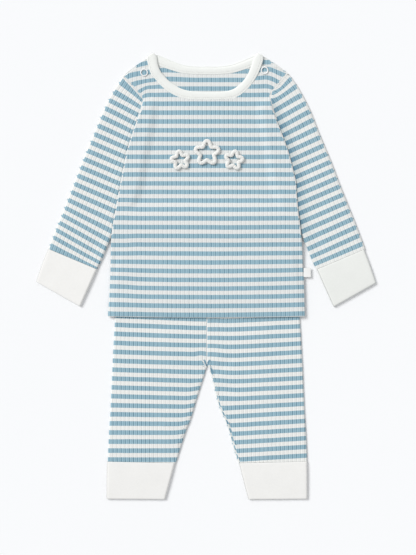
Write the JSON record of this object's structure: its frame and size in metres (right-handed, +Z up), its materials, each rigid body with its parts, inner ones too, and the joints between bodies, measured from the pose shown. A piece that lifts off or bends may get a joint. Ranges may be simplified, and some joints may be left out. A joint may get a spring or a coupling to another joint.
{
  "type": "baby pyjama set laid flat",
  "caption": "Long-sleeved striped rib top with popper shoulders lying flat over matching cuffed trousers, as a laid-out sleepwear set.",
  "frame": {"origin": "on the surface the set lies on, under the middle of its outline", "axes": "+Y runs from the leg cuffs to the neck, +X to the right as seen from above, +Z up through the layers"},
  "size_m": [0.4262, 0.558, 0.0083],
  "materials": {
    "striped_rib": "matte drop-needle rib, pale blue and white stripes",
    "white_rib": "matte plain rib",
    "cord": "soft brushed cord",
    "popper": "satin",
    "label": "smooth woven tape"
  },
  "bodies": {
    "root": {"top_front": "striped_rib", "top_back": "striped_rib", "sleeve_left": "striped_rib", "sleeve_right": "striped_rib", "leg_left": "striped_rib", "leg_right": "striped_rib", "cuff_left": "white_rib", "cuff_right": "white_rib", "leg_cuff_left": "white_rib", "leg_cuff_right": "white_rib", "waistband": "white_rib", "neck_binding_front": "white_rib", "neck_binding_back": "white_rib", "popper_ring_left": "popper", "popper_ring_right": "popper", "star_left": "cord", "star_centre": "cord", "star_right": "cord", "side_label": "label"}
  },
  "joints": []
}
